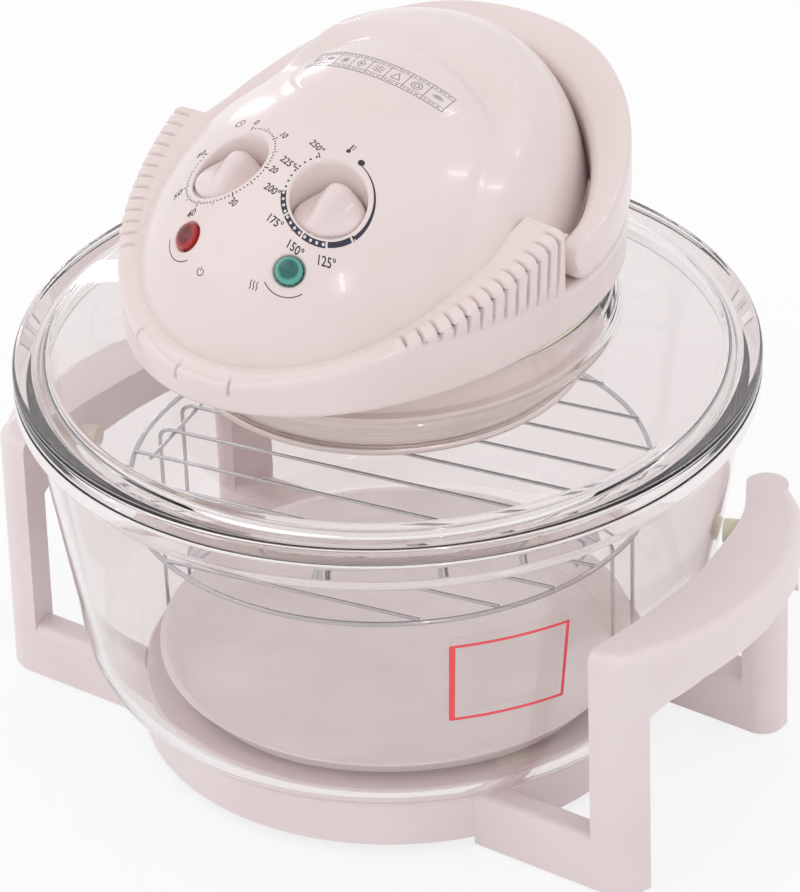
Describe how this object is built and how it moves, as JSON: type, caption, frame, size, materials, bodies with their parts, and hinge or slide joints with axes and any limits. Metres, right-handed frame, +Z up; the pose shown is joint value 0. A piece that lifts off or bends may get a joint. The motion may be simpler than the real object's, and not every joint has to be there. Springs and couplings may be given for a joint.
{
  "type": "halogen oven",
  "caption": "Countertop halogen oven: glass bowl on a stand with side frames, glass lid with a lamp-and-fan head, recessed knobs, carry handle, inner rack and pan.",
  "frame": {"origin": "on the bowl's axis at the level of the rubber feet, which is the middle of the footprint", "axes": "+Z up, -Y towards the front with the knobs, +X towards the right side frame"},
  "size_m": [0.3818, 0.336, 0.343],
  "materials": {
    "white_plastic": "satin gloss",
    "stand_plastic": "satin gloss",
    "handle_plastic": "satin gloss",
    "knob_plastic": "satin gloss",
    "cream_rubber": "matt",
    "bowl_glass": "clear",
    "lid_glass": "clear",
    "lamp_glass": "frosted",
    "brushed_metal": "brushed",
    "wire_chrome": "plated",
    "plain_steel": "plain",
    "fan_aluminium": "plain",
    "lamination_steel": "stacked sheets",
    "bronze": "sintered",
    "copper_winding": "varnished",
    "ceramic": "unglazed",
    "dark_plastic": "matt",
    "grey_plastic": "matt",
    "red_lens": "clear tint",
    "green_lens": "clear tint",
    "neon_glass": "clear"
  },
  "bodies": {
    "stand": {"base_ring": "stand_plastic", "right_frame": "stand_plastic", "left_frame": "stand_plastic", "frame_screws": "plain_steel", "stand_feet": "cream_rubber", "bowl_pads": "cream_rubber", "bowl_bumpers": "cream_rubber"},
    "bowl": {"glass_bowl": "bowl_glass"},
    "pan": {"drip_pan": "brushed_metal"},
    "rack": {"high_rack": "wire_chrome"},
    "lid": {"lid_glass": "lid_glass", "neck_gasket": "cream_rubber", "neck_ring": "white_plastic", "heater_drum": "brushed_metal", "fan_guard": "wire_chrome", "reflector_plate": "brushed_metal", "halogen_lamp": "lamp_glass", "lamp_holders": "ceramic", "heat_shield": "brushed_metal", "lower_housing": "white_plastic", "top_cover": "white_plastic", "housing_screws": "plain_steel", "timer_mechanism": "dark_plastic", "thermostat": "dark_plastic", "power_lens": "red_lens", "heat_lens": "green_lens", "neon_lamps": "neon_glass", "motor_bracket": "plain_steel", "motor_bushes": "bronze", "motor_straps": "plain_steel", "motor_bolts": "plain_steel", "motor_stator": "lamination_steel", "motor_coil": "copper_winding", "handle_pins": "plain_steel", "interlock_switch": "dark_plastic", "terminal_block": "dark_plastic", "cord_gland": "grey_plastic"},
    "rotor": {"motor_rotor": "fan_aluminium", "motor_shaft": "plain_steel", "convection_fan": "fan_aluminium", "cooling_fan": "fan_aluminium"},
    "handle": {"carry_handle": "handle_plastic"},
    "timer": {"timer_knob": "knob_plastic", "timer_shaft": "plain_steel"},
    "thermostat_dial": {"thermostat_knob": "knob_plastic", "thermostat_shaft": "plain_steel"},
    "plunger": {"interlock_plunger": "grey_plastic"}
  },
  "joints": [
    {"name": "bowl_lift", "type": "slide", "parent": "stand", "child": "bowl", "axis": [0, 0, 1], "range_m": [0, 0.2]},
    {"name": "pan_lift", "type": "slide", "parent": "bowl", "child": "pan", "axis": [0, 0, 1], "range_m": [0, 0.06]},
    {"name": "rack_lift", "type": "slide", "parent": "bowl", "child": "rack", "axis": [0, 0, 1], "range_m": [0, 0.05]},
    {"name": "lid_lift", "type": "slide", "parent": "bowl", "child": "lid", "axis": [0, 0, 1], "range_m": [0, 0.2]},
    {"name": "handle_swing", "type": "hinge", "parent": "lid", "child": "handle", "pos_m": [0, 0.008, 0.27], "axis": [1, 0, 0], "range_deg": [0, 90]},
    {"name": "plunger_travel", "type": "slide", "parent": "lid", "child": "plunger", "axis": [0, 0, 1], "range_m": [0, 0.002]},
    {"name": "timer_turn", "type": "hinge", "parent": "lid", "child": "timer", "pos_m": [-0.026, -0.0742, 0.3183], "axis": [0, 0, 1], "range_deg": [-300, 0]},
    {"name": "thermostat_turn", "type": "hinge", "parent": "lid", "child": "thermostat_dial", "pos_m": [0.026, -0.0742, 0.3183], "axis": [0, 0, 1], "range_deg": [-290, 0]},
    {"name": "rotor_spin", "type": "hinge", "parent": "lid", "child": "rotor", "pos_m": [0, 0, 0.212], "axis": [0, 0, 1], "continuous": true}
  ],
  "couplings": [
    {"joint": "plunger_travel", "follows": "handle_swing", "m_per_rad": 0.00127}
  ]
}
